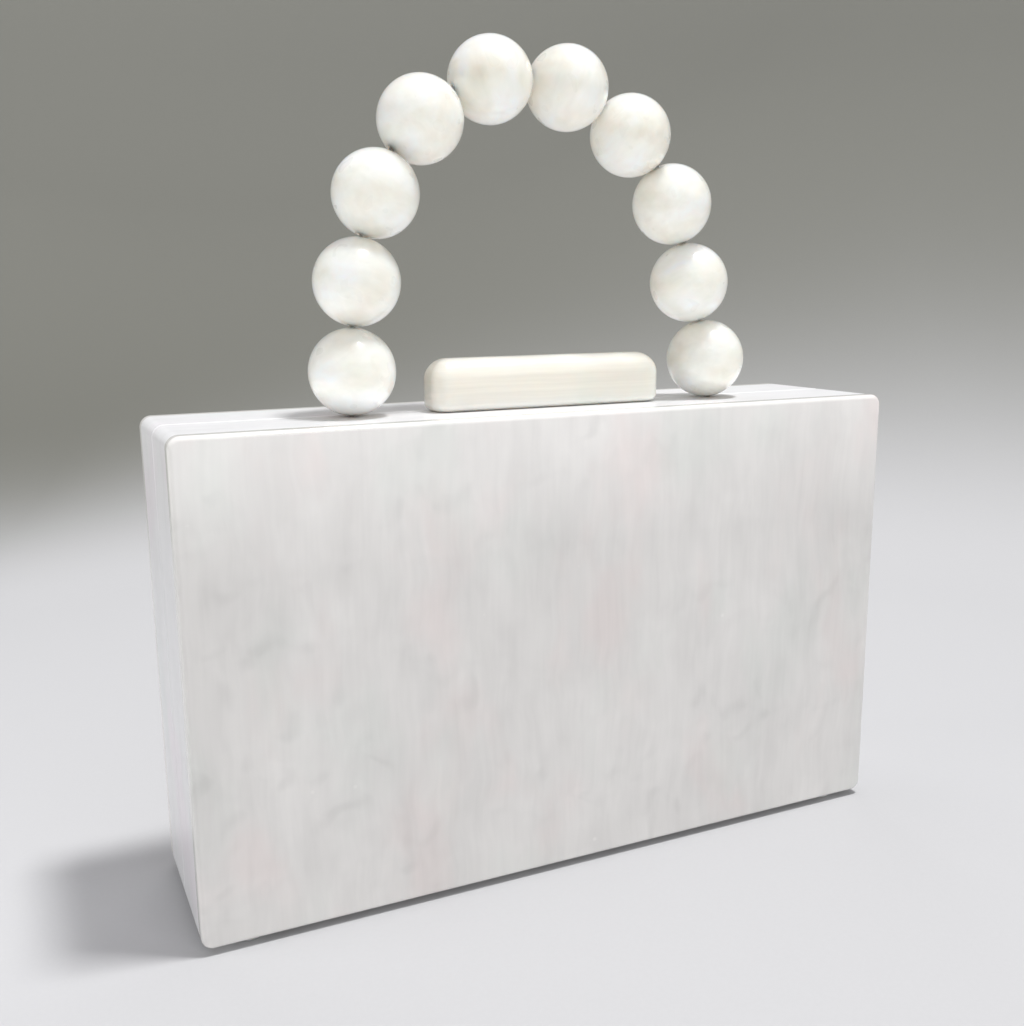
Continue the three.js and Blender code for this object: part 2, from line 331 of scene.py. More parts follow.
def grow(name: str, start: bpy.types.Mesh, tree: Tree, values: dict[str, Any]) -> Piece:
    """Runs a Geometry Nodes tree on a start mesh and keeps the result as a plain mesh.

    Args:
        name: Name of the new object.
        start: Points or lines that the tree grows from.
        tree: The Geometry Nodes tree.
        values: What each named input of the tree gets.

    Returns:
        The finished object at the origin.
    """
    piece = bpy.data.objects.new(name, start)
    bpy.context.scene.collection.objects.link(piece)
    nodes = piece.modifiers.new(name, "NODES")
    nodes.node_group = tree
    for item in tree.interface.items_tree:
        if item.item_type == "SOCKET" and item.in_out == "INPUT" and item.name in values:
            nodes[item.identifier] = values[item.name]
    return settle(piece, crease=50.0, even=False)


def new_tree(name: str, inputs: Sequence[tuple[str, str]]) -> Tree:
    """Starts a Geometry Nodes tree with named inputs.

    Args:
        name: Name of the tree.
        inputs: Name and socket type of each input after the geometry.

    Returns:
        The tree, with one geometry input and one geometry output.
    """
    tree = bpy.data.node_groups.new(name, "GeometryNodeTree")
    tree.interface.new_socket("Geometry", in_out="INPUT", socket_type="NodeSocketGeometry")
    tree.interface.new_socket("Geometry", in_out="OUTPUT", socket_type="NodeSocketGeometry")
    for label, kind in inputs:
        tree.interface.new_socket(label, in_out="INPUT", socket_type=kind)
    return tree


def close_tree(tree: Tree, geometry: Source, finish: Source) -> Tree:
    """Ends a Geometry Nodes tree: plain meshes with one finish.

    Args:
        tree: The tree.
        geometry: What it has made so far.
        finish: The finish's input.

    Returns:
        The same tree.
    """
    real = add(tree, "GeometryNodeRealizeInstances", {"Geometry": geometry})
    finished = add(tree, "GeometryNodeSetMaterial", {"Geometry": real, "Material": finish})
    add(tree, "NodeGroupOutput", {"Geometry": finished})
    return tree


def place_points(name: str, points: Sequence[Vector], joined: bool = False) -> bpy.types.Mesh:
    """Makes a mesh of bare points, or of one line through them.

    Args:
        name: Name of the mesh.
        points: Places in metres.
        joined: True to join each point to the next.

    Returns:
        The mesh.
    """
    mesh = bpy.data.meshes.new(name)
    lines = [(index, index + 1) for index in range(len(points) - 1)] if joined else []
    mesh.from_pydata([tuple(point) for point in points], lines, [])
    return mesh


# Finishes

# Refraction of cast acrylic.
ACRYLIC_IOR = 1.49
# Red light travels farther in milky resin than blue.
SCATTER_REACH = (1.0, 0.85, 0.75)
# The middle of a noise texture, and the span that nearly all of it stays in.
NOISE_MIDDLE = (0.5, 0.5, 0.5)
NOISE_SPAN = (0.25, 0.75)
# How far apart the patterns of two layers lie, so that they don't repeat each other.
LAYER_STEP = (17.0, 5.0, 9.0)
# Noise levels between which a folded patch begins, and between which an area has folds.
FOLD_EDGE = (0.52, 0.68)
FOLD_AREA = (0.48, 0.62)
FOLD_AREA_PLACE = (13.0, 57.0)
# Where the patterns of the pink and the green drifts lie.
TINT_PLACES = ((3.1, 7.7, 1.3), (43.1, 7.7, 1.3))


def new_material(name: str) -> tuple[Finish, Tree]:
    """Starts a material with an empty tree.

    Args:
        name: Name of the material.

    Returns:
        The material and its tree.
    """
    material = bpy.data.materials.new(name)
    material.use_nodes = True
    material.node_tree.nodes.clear()
    return material, material.node_tree


@dataclass(frozen=True)
class Cloud:
    """One layer of pearl in the acrylic.

    Attributes:
        size: Width of a light or dark patch in millimetres along X, Y and Z.
        contrast: How far the layer lightens and darkens the colour.
        detail: Finer octaves in the layer.
        fold: How far a folded patch is lifted, in millimetres along X, Y and Z, or none for soft patches.
        spread: Width of the areas with and without folds, in millimetres.
    """

    size: tuple[float, float, float]
    contrast: float
    detail: float = 2.0
    fold: tuple[float, float, float] | None = None
    spread: float = 25.0

    def noise(self, tree: Tree, spot: Source) -> bpy.types.Node:
        """Adds the layer's noise at a spot that is given in widths of a patch."""
        values = {"Vector": spot, "Scale": 1.0, "Detail": self.detail, "Roughness": 0.55}
        return add(tree, "ShaderNodeTexNoise", values)


@dataclass(frozen=True)
class PearlAcrylic:
    """Cast acrylic with pearl pigment, cut and polished to a clear gloss.

    The flakes settle in drifts as the resin flows into the mould, so the eye sees soft light and dark
    streaks and curls under a hard clear skin, with a breath of pink and green.

    Attributes:
        name: Name of the material.
        colour: The pearl's middle colour.
        pink: Colour of the warm drifts.
        green: Colour of the cool drifts.
        tint_size: Width of a tinted drift in millimetres along X, Y and Z.
        tint: How much of the tint colours shows.
        drift_size: Width of the swirls that bend the layers, in millimetres.
        drift: How far the swirls bend the layers, in millimetres along X, Y and Z.
        clouds: The layers of pearl.
        glint_spacing: Spacing of painted glints, single flakes painted brighter in the colour as if they
            caught the light, in millimetres, or zero for none.
        painted_edge_light: Painted light: how much brighter the colour is painted towards the sheet's top
            edge, standing in for light that enters by the polished edge.
        edge_top: Height of that edge in millimetres.
        edge_reach: How far down the painted light reaches, in millimetres.
        light_side: Strength of a fold's light side beside its dark one.
        glow: Share of light that scatters inside.
        depth: How deep it scatters, in millimetres.
        roughness: Roughness of the flakes under the skin.
        coat: How much of the clear skin shows.
        skin_roughness: Roughness of the polished skin.
        ripple_size: Width of the slight waves in the polish, in millimetres.
        ripple_height: Their height in millimetres.
        flake_spread: How much the flakes' roughness varies either way.
        attribute: Names of the piece's own attributes for place and shift, or none for Object coordinates.
    """

    name: str
    colour: str
    pink: str
    green: str
    clouds: tuple[Cloud, ...]
    tint_size: tuple[float, float, float] = (30.0, 30.0, 34.0)
    tint: float = 0.5
    drift_size: float = 18.0
    drift: tuple[float, float, float] = (3.0, 3.0, 3.0)
    glint_spacing: float = 0.0
    painted_edge_light: float = 0.0
    edge_top: float = 124.0
    edge_reach: float = 26.0
    light_side: float = 0.35
    glow: float = 0.0
    depth: float = 2.5
    roughness: float = 0.42
    coat: float = 0.9
    skin_roughness: float = 0.05
    ripple_size: float = 5.0
    ripple_height: float = 0.2
    flake_spread: float = 0.08
    attribute: tuple[str, str] | None = None

    def build(self) -> Finish:
        """Builds the material.

        Returns:
            The material.
        """
        material, tree = new_material(self.name)
        place = self._place(tree)
        bent = self._bend(tree, place)
        light = self._layers(tree, bent, place)
        colour = self._tints(tree, place, light)
        values = {"Vector": place, "Scale": 1 / self.ripple_size, "Detail": 1.0}
        ripple = add(tree, "ShaderNodeTexNoise", values)
        waves = {"Strength": 0.25, "Distance": self.ripple_height * MM, "Height": ripple}
        skin = add(tree, "ShaderNodeBump", waves)
        span = {"To Min": self.roughness - self.flake_spread, "To Max": self.roughness + self.flake_spread}
        flakes = add(tree, "ShaderNodeMapRange", {"Value": ripple, **span})
        shader = add(tree, "ShaderNodeBsdfPrincipled", {
            "Base Color": colour,
            "Roughness": flakes,
            "IOR": ACRYLIC_IOR,
            "Subsurface Weight": self.glow,
            "Subsurface Radius": SCATTER_REACH,
            "Subsurface Scale": self.depth * MM,
            "Coat Weight": self.coat,
            "Coat Roughness": self.skin_roughness,
            "Coat IOR": ACRYLIC_IOR,
            "Normal": skin,
        })
        add(tree, "ShaderNodeOutputMaterial", {"Surface": shader})
        return material

    def _place(self, tree: Tree) -> Source:
        """Gives the place on the piece in millimetres.

        Args:
            tree: The material's tree.

        Returns:
            A vector socket.
        """
        if self.attribute is None:
            source = add(tree, "ShaderNodeTexCoord").outputs["Object"]
        else:
            own, shift = self.attribute
            place = add(tree, "ShaderNodeAttribute", attribute_name=own).outputs["Vector"]
            moved = add(tree, "ShaderNodeAttribute", attribute_name=shift).outputs["Vector"]
            source = add(tree, "ShaderNodeVectorMath", {0: place, 1: moved}, operation="ADD")
        scaled = add(tree, "ShaderNodeVectorMath", {0: source, "Scale": 1 / MM}, operation="SCALE")
        return scaled

    def _bend(self, tree: Tree, place: Source) -> Source:
        """Bends the place by slow swirls, as the resin flowed.

        Args:
            tree: The material's tree.
            place: The place in millimetres.

        Returns:
            The bent place.
        """
        values = {"Vector": place, "Scale": 1 / self.drift_size, "Detail": 2.0, "Roughness": 0.5}
        swirl = add(tree, "ShaderNodeTexNoise", values).outputs["Color"]
        centred = add(tree, "ShaderNodeVectorMath", {0: swirl, 1: NOISE_MIDDLE}, operation="SUBTRACT")
        reach = tuple(2 * value for value in self.drift)
        pushed = add(tree, "ShaderNodeVectorMath", {0: centred, 1: reach, 2: place}, operation="MULTIPLY_ADD")
        return pushed

    def _layers(self, tree: Tree, bent: Source, place: Source) -> Source:
        """Adds up the light and dark layers of pearl.

        Args:
            tree: The material's tree.
            bent: The bent place in millimetres.
            place: The straight place in millimetres.

        Returns:
            A value socket round zero.
        """
        total: Any = 0.0
        for number, cloud in enumerate(self.clouds):
            inverse = tuple(1 / size for size in cloud.size)
            apart = tuple(step * number for step in LAYER_STEP)
            spot = add(tree, "ShaderNodeMapping", {"Vector": bent, "Location": apart, "Scale": inverse})
            noise = cloud.noise(tree, spot)
            if cloud.fold is None:
                span = dict(zip(("From Min", "From Max"), NOISE_SPAN))
                span |= {"To Min": -cloud.contrast, "To Max": cloud.contrast}
                layer = add(tree, "ShaderNodeMapRange", {"Value": noise, **span}, clamp=False)
            else:
                layer = self._fold(tree, cloud, spot, noise, place)
            total = add(tree, "ShaderNodeMath", {0: layer, 1: total}, operation="ADD")
        # Painted glints: single flakes are painted brighter in the colour, as if they caught the light.
        if self.glint_spacing:
            cells = add(tree, "ShaderNodeTexVoronoi", {"Vector": place, "Scale": 1 / self.glint_spacing})
            span = {"From Min": 0.02, "From Max": 0.05, "To Min": 0.12, "To Max": 0.0}
            painted_glint = add(tree, "ShaderNodeMapRange", {"Value": cells, **span})
            total = add(tree, "ShaderNodeMath", {0: painted_glint, 1: total}, operation="ADD")
        # Painted light: the colour is lightened towards the top edge, standing in for light that enters the
        # polished sheet there.
        if self.painted_edge_light:
            height = add(tree, "ShaderNodeSeparateXYZ", {0: place})
            glow = add(tree, "ShaderNodeMapRange", {
                "Value": height.outputs[2], "From Min": self.edge_top - self.edge_reach,
                "From Max": self.edge_top, "To Max": self.painted_edge_light,
            })
            total = add(tree, "ShaderNodeMath", {0: glow, 1: total}, operation="ADD")
        return total

    def _fold(self, tree: Tree, cloud: Cloud, spot: Source, noise: Source, place: Source) -> Source:
        """Draws folded patches, dark along one side and light along the other, in some areas only.

        Args:
            tree: The material's tree.
            cloud: The layer.
            spot: The place in the layer's own pattern.
            noise: The layer's noise there.
            place: The straight place in millimetres.

        Returns:
            A value socket that is zero outside the folds.
        """
        smooth = {"interpolation_type": "SMOOTHSTEP"}
        lift = tuple(reach / size for reach, size in zip(cloud.fold, cloud.size))
        lifted = add(tree, "ShaderNodeVectorMath", {0: spot, 1: lift}, operation="ADD")
        edge = dict(zip(("From Min", "From Max"), FOLD_EDGE))
        near = add(tree, "ShaderNodeMapRange", {"Value": noise, **edge}, **smooth)
        far = add(tree, "ShaderNodeMapRange", {"Value": cloud.noise(tree, lifted), **edge}, **smooth)
        sides = add(tree, "ShaderNodeMath", {0: near, 1: far}, operation="SUBTRACT")
        fainter = add(tree, "ShaderNodeMath", {0: sides, 1: self.light_side}, operation="MULTIPLY")
        relief = add(tree, "ShaderNodeMath", {0: sides, 1: fainter}, operation="MAXIMUM")
        shift = (cloud.spread, *FOLD_AREA_PLACE)
        moved = add(tree, "ShaderNodeVectorMath", {0: place, 1: shift}, operation="ADD")
        area = add(tree, "ShaderNodeTexNoise", {"Vector": moved, "Scale": 1 / cloud.spread, "Detail": 1.0})
        span = dict(zip(("From Min", "From Max"), FOLD_AREA)) | {"To Max": cloud.contrast}
        shown = add(tree, "ShaderNodeMapRange", {"Value": area, **span}, **smooth)
        return add(tree, "ShaderNodeMath", {0: relief, 1: shown}, operation="MULTIPLY")

    def _tints(self, tree: Tree, place: Source, light: Source) -> Source:
        """Lays the pink and green drifts over the pearl and applies its light and dark.

        Args:
            tree: The material's tree.
            place: The place in millimetres.
            light: The layers of pearl, round zero.

        Returns:
            A colour socket.
        """
        colour: Any = linear(self.colour)
        inverse = tuple(1 / size for size in self.tint_size)
        for start, tint in zip(TINT_PLACES, (self.pink, self.green)):
            spot = add(tree, "ShaderNodeMapping", {"Vector": place, "Location": start, "Scale": inverse})
            noise = add(tree, "ShaderNodeTexNoise", {"Vector": spot, "Scale": 1.0, "Detail": 3.0})
            span = {"Value": noise, "From Min": 0.5, "From Max": 0.7, "To Max": self.tint}
            share = add(tree, "ShaderNodeMapRange", span, interpolation_type="SMOOTHSTEP")
            mix = {0: share, 6: colour, 7: linear(tint)}
            colour = add(tree, "ShaderNodeMix", mix, data_type="RGBA").outputs[2]
        gain = add(tree, "ShaderNodeMath", {0: light, 1: 1.0}, operation="ADD")
        lit = add(tree, "ShaderNodeVectorMath", {0: colour, "Scale": gain}, operation="SCALE")
        return lit


# Cast sheet: the pearl hangs in upright wavy streaks of 1 to 5 mm, with small folds here and there.
SHEET = PearlAcrylic(
    name="cast_pearl_acrylic_sheet",
    colour="D8D6D4",
    pink="DCD0CE",
    green="D2D5D1",
    clouds=(
        Cloud((1.3, 8.0, 17.0), 0.019, 3.0),
        Cloud((4.2, 12.0, 26.0), 0.034, 2.0),
        Cloud((10.0, 10.0, 16.0), 0.045, 2.0),
        Cloud((30.0, 26.0, 50.0), 0.04, 1.0),
        Cloud((9.0, 12.0, 10.0), -0.072, 0.7, fold=(1.9, 0.0, -2.4), spread=33.0),
    ),
    tint_size=(24.0, 30.0, 46.0),
    tint=0.5,
    drift_size=26.0,
    drift=(3.0, 4.0, 12.0),
    # Painted glints: single flakes painted brighter.
    glint_spacing=16.0,
    # Painted light: the face is painted brighter towards its top edge.
    painted_edge_light=0.29,
    edge_reach=34.0,
)

# The same sheet cut to strips for the walls: its streaks run along each wall.
WALLS = PearlAcrylic(
    name="cast_pearl_acrylic_walls",
    colour="D9D9DB",
    pink="DCD2DA",
    green="D3D8D8",
    clouds=(
        Cloud((40.0, 1.6, 40.0), 0.035, 3.0),
        Cloud((60.0, 9.0, 60.0), 0.04, 2.0),
    ),
    # Painted light: the walls are painted brighter towards the top.
    painted_edge_light=0.33,
    edge_reach=34.0,
    coat=0.35,
)

# Cast block, milled and polished: warmer, with faint streaks along its length.
BLOCK = PearlAcrylic(
    name="polished_pearl_acrylic_block",
    colour="EBE8DF",
    pink="E7DED6",
    green="E1E2D7",
    clouds=(
        Cloud((44.0, 6.0, 0.9), 0.045, 2.0),
        Cloud((50.0, 9.0, 3.0), 0.03, 2.0),
    ),
    drift=(1.0, 0.6, 0.6),
    glow=0.85,
    depth=7.0,
    roughness=0.35,
)

# Turned beads of the same acrylic: soft clouds and curved streaks inside a deep gloss.
BEAD = PearlAcrylic(
    name="turned_pearl_acrylic_bead",
    colour="FAF5EA",
    pink="FBEEE8",
    green="F3F5E8",
    clouds=(
        Cloud((11.0, 11.0, 6.5), 0.11, 1.0),
        Cloud((2.6, 7.0, 2.2), 0.045, 2.0),
        Cloud((8.0, 8.0, 5.0), -0.06, 0.5, fold=(2.0, 0.0, -1.6), spread=9.0),
    ),
    tint_size=(12.0, 12.0, 12.0),
    drift_size=9.0,
    drift=(2.5, 2.5, 2.5),
    glow=1.0,
    depth=15.0,
    roughness=0.3,
    skin_roughness=0.03,
    attribute=("bead_place", "bead_shift"),
)


@dataclass(frozen=True)
class Metal:
    """Plated or drawn metal, with rub marks.

    Attributes:
        name: Name of the material.
        colour: Its bright colour.
        worn: Its colour in the rub marks.
        roughness: Middle roughness.
        grain: Width of the marks in millimetres along X, Y and Z.
        mark_depth: Their depth in millimetres.
        rub_size: Width of a rub mark in millimetres.
    """

    name: str
    colour: str
    worn: str
    roughness: float
    grain: tuple[float, float, float]
    mark_depth: float = 0.03
    rub_size: float = 6.0

    def build(self) -> Finish:
        """Builds the material.

        Returns:
            The material.
        """
        material, tree = new_material(self.name)
        place = add(tree, "ShaderNodeTexCoord").outputs["Object"]
        inverse = tuple(1 / (size * MM) for size in self.grain)
        spot = add(tree, "ShaderNodeMapping", {"Vector": place, "Scale": inverse})
        values = {"Vector": spot, "Scale": 1.0, "Detail": 4.0, "Roughness": 0.6}
        marks = add(tree, "ShaderNodeTexNoise", values)
        rubbed = {"Vector": place, "Scale": 1 / (self.rub_size * MM), "Detail": 2.0}
        dull = add(tree, "ShaderNodeTexNoise", rubbed)
        rough = add(tree, "ShaderNodeMapRange", {
            "Value": marks, "From Min": 0.3, "From Max": 0.7,
            "To Min": self.roughness - 0.07, "To Max": self.roughness + 0.1,
        })
        share = add(tree, "ShaderNodeMapRange", {"Value": dull, "From Min": 0.45, "From Max": 0.75})
        mix = {0: share, 6: linear(self.colour), 7: linear(self.worn)}
        colour = add(tree, "ShaderNodeMix", mix, data_type="RGBA")
        depth = self.mark_depth * MM
        skin = add(tree, "ShaderNodeBump", {"Strength": 0.2, "Distance": depth, "Height": marks})
        shader = add(tree, "ShaderNodeBsdfPrincipled", {
            "Base Color": colour.outputs[2],
            "Metallic": 1.0,
            "Roughness": rough,
            "Normal": skin,
        })
        add(tree, "ShaderNodeOutputMaterial", {"Surface": shader})
        return material


# Stamped steel strip with bright nickel: fine marks from the rolling, a little dulled by handling.
NICKEL = Metal("bright_nickel_plated_steel", "D3CFC8", "B4AFA6", 0.24, (6.0, 0.25, 0.25))
# Drawn stainless wire: dull, with marks from the die.
STEEL = Metal("drawn_stainless_steel_wire", "B9B8B5", "9A9893", 0.34, (0.4, 0.4, 3.0))


@dataclass(frozen=True)
class ClearBumper:
    """Moulded clear polyurethane: soft, slightly cloudy and dulled by specks of dust.

    Attributes:
        name: Name of the material.
        colour: Its own colour.
        dust: Colour of the dust.
        speck_size: Width of a speck in millimetres.
    """

    name: str = "moulded_clear_polyurethane"
    colour: str = "E2E4E2"
    dust: str = "BDBBB5"
    speck_size: float = 0.8

    def build(self) -> Finish:
        """Builds the material.

        Returns:
            The material.
        """
        material, tree = new_material(self.name)
        place = add(tree, "ShaderNodeTexCoord").outputs["Object"]
        scale = 1 / (self.speck_size * MM)
        speck = add(tree, "ShaderNodeTexNoise", {"Vector": place, "Scale": scale, "Detail": 3.0})
        span = {"Value": speck, "From Min": 0.5, "From Max": 0.75, "To Max": 0.6}
        share = add(tree, "ShaderNodeMapRange", span)
        mix = {0: share, 6: linear(self.colour), 7: linear(self.dust)}
        colour = add(tree, "ShaderNodeMix", mix, data_type="RGBA")
        rough = add(tree, "ShaderNodeMapRange", {"Value": speck, "To Min": 0.25, "To Max": 0.55})
        shader = add(tree, "ShaderNodeBsdfPrincipled", {
            "Base Color": colour.outputs[2],
            "Roughness": rough,
            "IOR": 1.5,
            "Transmission Weight": 0.35,
            "Subsurface Weight": 0.3,
            "Subsurface Scale": 1.0 * MM,
        })
        add(tree, "ShaderNodeOutputMaterial", {"Surface": shader})
        return material


@dataclass(frozen=True)
class SweepPaper:
    """Seamless studio paper: matt and white, with painted shade that greys it as it rises, sooner on the
    left.

    Attributes:
        name: Name of the material.
        floor: Colour where it lies flat.
        wall: Painted shade high up, standing in for the light falling off.
        low_painted_shade: Painted shade low on the rising part, darker than high up to offset the light that
            the floor throws back there.
        low_height: Height of that colour in millimetres.
        high_height: Height from which the wall has its own colour.
        across: The level direction from left to right.
        reach: How far left and right the rates below are given, in millimetres.
        rise_left: Height at which most of the painted shade has come on the left, in millimetres.
        rise_right: The same on the right.
        sharpness: How sudden the change is.
        fibre_size: Width of the paper's mottling in millimetres.
    """

    name: str = "matt_background_paper"
    floor: str = "C5C5C7"
    wall: str = "8E8E88"
    low_painted_shade: str = "787872"
    low_height: float = 70.0
    high_height: float = 350.0
    across: tuple[float, float, float] = (0.90627, -0.42259, 0.0)
    reach: float = 300.0
    rise_left: float = 24.0
    rise_right: float = 108.0
    sharpness: float = 1.5
    fibre_size: float = 1.2

    def build(self) -> Finish:
        """Builds the material.

        Returns:
            The material.
        """
        material, tree = new_material(self.name)
        place = add(tree, "ShaderNodeTexCoord").outputs["Object"]
        height = add(tree, "ShaderNodeSeparateXYZ", {0: place})
        # Painted shade: the paper is painted darker as it rises, sooner on the left.
        side = add(tree, "ShaderNodeVectorMath", {0: place, 1: self.across}, operation="DOT_PRODUCT")
        rate = add(tree, "ShaderNodeMapRange", {
            "Value": side.outputs["Value"], "From Min": -self.reach * MM, "From Max": self.reach * MM,
            "To Min": self.rise_left * MM, "To Max": self.rise_right * MM,
        })
        share = add(tree, "ShaderNodeMath", {0: height.outputs[2], 1: rate}, operation="DIVIDE")
        steep = add(tree, "ShaderNodeMath", {0: share, 1: self.sharpness}, operation="POWER")
        negative = add(tree, "ShaderNodeMath", {0: steep, 1: -1.0}, operation="MULTIPLY")
        floor_share = add(tree, "ShaderNodeMath", {0: negative}, operation="EXPONENT")
        scale = 1 / (self.fibre_size * MM)
        fibre = add(tree, "ShaderNodeTexNoise", {"Vector": place, "Scale": scale, "Detail": 1.0})
        tone = add(tree, "ShaderNodeMapRange", {"Value": fibre, "To Min": 0.985, "To Max": 1.015})
        # Painted shade on the rise: darker low down, where the floor throws light back, and lighter grey
        # higher up.
        span = {"From Min": self.low_height * MM, "From Max": self.high_height * MM}
        high = add(tree, "ShaderNodeMapRange", {"Value": height.outputs[2], **span})
        mix = {0: high, 6: linear(self.low_painted_shade), 7: linear(self.wall)}
        grey = add(tree, "ShaderNodeMix", mix, data_type="RGBA")
        mix = {0: floor_share, 6: grey.outputs[2], 7: linear(self.floor)}
        colour = add(tree, "ShaderNodeMix", mix, data_type="RGBA")
        mottled = add(tree, "ShaderNodeVectorMath", {0: colour.outputs[2], "Scale": tone}, operation="SCALE")
        shader = add(tree, "ShaderNodeBsdfDiffuse", {"Color": mottled})
        add(tree, "ShaderNodeOutputMaterial", {"Surface": shader})
        return material


def declare(piece: Piece, finish: Finish, half: Half, replaced: Sequence[str] = ()) -> None:
    """Gives a piece its finish and tells the frame what it is.

    Args:
        piece: The finished piece.
        finish: Its finish, all over.
        half: The half of the case that carries it.
        replaced: CAD nodes that the piece stands for.
    """
    piece.data.materials.clear()
    piece.data.materials.append(finish)
    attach(piece, half.value)
    if replaced:
        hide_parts(*replaced)
    log.info("%s: %d faces on %s", piece.name, len(piece.data.polygons), half.value)


# The case


@dataclass
class CaseHalf:
    """One half of the case: an outer panel glued to a ring of four walls, with two feet.

    Sizes are in millimetres, and heights are above the floor.
    """

    half: Half
    panel_finish: Finish
    wall_finish: Finish
    pad_finish: Finish
    hole_places: Sequence[Vector] = ()  # where the wire goes through the top wall, in metres
    width: float = 200.0
    height: float = 122.5
    middle: float = 62.75  # height of the case's middle
    half_depth: float = 25.0
    corner_radius: float = 3.0
    wall: float = 4.0
    inner_radius: float = 2.0  # corners of the hollow
    panel: float = 4.0
    panel_rounding: float = 1.25
    seat_gap: float = 0.1  # glue line between the panel and the walls
    split: float = 0.15  # from the split plane to the walls' rim
    rim_rounding: float = 0.5
    inner_rounding: float = 0.25
    joint_rounding: float = 0.15  # edges at the glue line
    hinge_spacing: float = 120.0
    hinge_length: float = 36.6
    notch_radius: float = 1.55  # room round a hinge's knuckles
    case_bottom: float = 1.5
    case_top: float = 124.0
    hole_radius: float = 1.7
    hole_chamfer: float = 0.25
    pad_radius: float = 4.0
    pad_height: float = 1.4
    pad_shoulder: float = 0.62  # share of a foot's height that is domed
    pad_tip: float = 0.72  # share of its radius where the dome ends
    pad_flat: float = 0.3  # share of its radius that it stands on
    pad_x: float = 88.0  # from the case's middle
    pad_y: float = 19.0  # from the split

    def build(self) -> None:
        self.build_panel()
        self.build_walls()
        self.build_pads()

    def _ring(self, inset: float, level: float, inner: bool = False) -> list[Vector]:
        """Gives one upright loop of the case.

        Args:
            inset: How far the loop is pulled in from the outside, or let out of the hollow.
            level: Its distance from the split plane in millimetres.
            inner: True for the loop of the hollow.

        Returns:
            The loop's points in metres.
        """
        if inner:
            shrink, radius = self.wall - inset, self.inner_radius + inset
        else:
            shrink, radius = inset, self.corner_radius - inset
        loop = rounded_loop(self.width - 2 * shrink, self.height - 2 * shrink, radius)
        return [Vector((x, self.half.side * level, self.middle + z)) * MM for x, z in loop]

    def build_panel(self) -> None:
        """Builds the outer panel, a slab with a rounded outer edge."""
        back, front = self.half_depth - self.panel, self.half_depth
        inside = reversed(quarter(self.joint_rounding, 2))
        outside = quarter(self.panel_rounding, 10)
        rings = [self._ring(inset, back + depth) for inset, depth in inside]
        rings += [self._ring(inset, front - depth) for inset, depth in outside]
        piece = settle(loft(f"{self.half.prefix}_pearl_panel", rings))
        declare(piece, self.panel_finish, self.half, [f"{self.half.prefix}_panel"])

    def build_walls(self) -> None:
        """Builds the four walls as one ring, with room for the hinges and the wire."""
        back = self.half_depth - self.panel - self.seat_gap
        rim = reversed(quarter(self.rim_rounding, 6))
        rings = [self._ring(inset, self.split + depth) for inset, depth in rim]
        rings += [self._ring(inset, back - depth) for inset, depth in quarter(self.joint_rounding, 2)]
        rings.append(self._ring(0.0, back, inner=True))
        for inset, depth in quarter(self.inner_rounding, 4):
            rings.append(self._ring(inset, self.split + depth, inner=True))
        walls = loft(f"{self.half.prefix}_pearl_walls", rings, closed=True)
        carve(walls, self._cutters())
        declare(settle(walls), self.wall_finish, self.half, [f"{self.half.prefix}_frame"])

    def _cutters(self) -> list[Piece]:
        """Gives the solids that make room for the hinges' knuckles and for the wire.

        Returns:
            Closed solids.
        """
        along = Matrix.Rotation(math.pi / 2, 4, "Y")
        cutters = []
        for x in (-self.hinge_spacing / 2, self.hinge_spacing / 2):
            place = Matrix.Translation(Vector((x, 0, self.case_bottom)) * MM) @ along
            ends = [(self.notch_radius, -self.hinge_length / 2), (self.notch_radius, self.hinge_length / 2)]
            cutters.append(turned("notch", ends, 48, place))
        for hole in self.hole_places:
            place = Matrix.Translation(Vector((hole.x, hole.y, (self.case_top - self.wall / 2) * MM)))
            edge = self.wall / 2
            rim = self.hole_radius + self.hole_chamfer
            upper = [(self.hole_radius, edge - self.hole_chamfer), (rim, edge), (rim + 1, edge + 1)]
            lower = [(radius, -height) for radius, height in reversed(upper)]
            cutters.append(turned("hole", lower + upper, 48, place))
        return cutters

    def build_pads(self) -> None:
        """Builds the two feet of this half as one piece of low domes."""
        flat = self.pad_radius * self.pad_flat
        shoulder = self.pad_height * self.pad_shoulder
        profile = [(flat, self.pad_height), (self.pad_radius, self.pad_height), (self.pad_radius, shoulder)]
        for step in range(1, 9):
            angle = step / 8 * math.pi / 2
            radius = self.pad_radius * (self.pad_tip + (1 - self.pad_tip) * math.cos(angle))
            profile.append((radius, shoulder * (1 - math.sin(angle))))
        profile.append((flat, 0.0))
        shape = bmesh.new()
        for x in (-self.pad_x, self.pad_x):
            place = Matrix.Translation(Vector((x, self.half.side * self.pad_y, 0)) * MM)
            pad = turned("pad", profile, 40, place)
            shape.from_mesh(pad.data)
            drop(pad)
        nodes = [f"{self.half.prefix}_pad_{end}" for end in ("left", "right")]
        piece = settle(to_object(f"{self.half.prefix}_clear_pads", shape))
        declare(piece, self.pad_finish, self.half, nodes)


